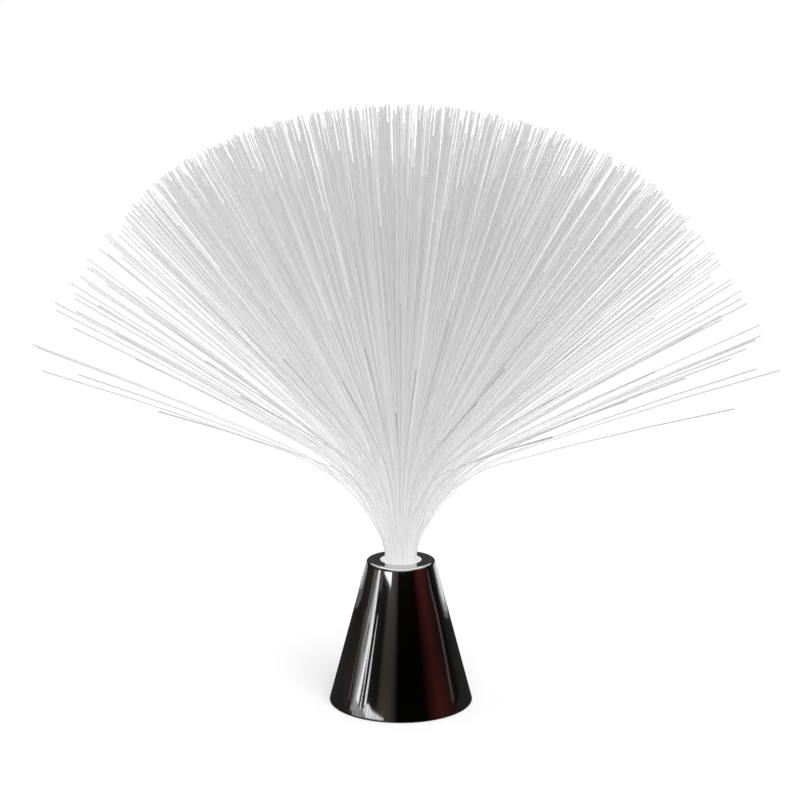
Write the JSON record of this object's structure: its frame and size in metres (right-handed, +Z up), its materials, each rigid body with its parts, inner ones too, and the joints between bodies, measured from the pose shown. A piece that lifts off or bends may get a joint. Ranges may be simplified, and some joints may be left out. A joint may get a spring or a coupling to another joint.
{
  "type": "fiber optic lamp",
  "caption": "Tabletop fiber optic lamp: a dark chrome cone base holds a socket from which a wide dome-shaped spray of fine light fibers rises; battery tray and slide switch underneath.",
  "frame": {"origin": "centre of the circle on which the cone stands", "axes": "+Z up along the cone's axis, +X along the battery cells towards the door's latch, +Y towards the slide switch"},
  "size_m": [0.3821, 0.3781, 0.3083],
  "materials": {
    "smoked_chrome": "dark vacuum-metallised plastic, mirror smooth",
    "white_plastic": "white moulded plastic",
    "fiber": "clear acrylic light fiber that looks white in a bundle",
    "led_lens": "water-clear resin",
    "tinned_steel": "tin or nickel plated",
    "board_green": "green solder mask on a laminate",
    "black_resin": "black cast resin",
    "zinc_steel": "zinc plated",
    "black_plastic": "black moulded plastic, finely grained",
    "cell_jacket": "printed shrink sleeve over a steel can",
    "laminate_brown": "phenolic paper laminate",
    "knob_black": "black moulded plastic",
    "wire_red": "insulated wire",
    "wire_black": "insulated wire",
    "wire_white": "insulated wire"
  },
  "bodies": {
    "base": {"base_plate": "black_plastic", "base_screws": "zinc_steel", "black_wire": "wire_black", "board_resistors": "black_resin", "board_screws": "zinc_steel", "cell_left": "cell_jacket", "cell_middle": "cell_jacket", "cell_right": "cell_jacket", "color_led": "led_lens", "cone_shell": "smoked_chrome", "contact_springs": "tinned_steel", "control_board": "board_green", "control_chip": "black_resin", "far_link_contact": "tinned_steel", "led_leads": "tinned_steel", "light_holder": "white_plastic", "near_link_contact": "tinned_steel", "negative_contact": "tinned_steel", "positive_contact": "tinned_steel", "red_wire": "wire_red", "socket_sleeve": "white_plastic", "switch_case": "tinned_steel", "switch_plate": "laminate_brown", "switch_terminals": "tinned_steel", "white_wire": "wire_white"},
    "spray": {"bundle_ferrule": "white_plastic", "fibers_core": "fiber", "fibers_fringe": "fiber", "fibers_inner": "fiber", "fibers_middle": "fiber", "fibers_outer": "fiber"},
    "door": {"battery_door": "black_plastic"},
    "knob": {"switch_knob": "knob_black"}
  },
  "joints": [
    {"name": "spray_lift", "type": "slide", "parent": "base", "child": "spray", "axis": [0, 0, 1], "range_m": [0, 0.026]},
    {"name": "door_hinge", "type": "hinge", "parent": "base", "child": "door", "pos_m": [-0.02425, 0, 0.0015], "axis": [0, 1, 0], "range_deg": [0, 70]},
    {"name": "switch_slide", "type": "slide", "parent": "base", "child": "knob", "axis": [1, 0, 0], "range_m": [0, 0.002]}
  ]
}
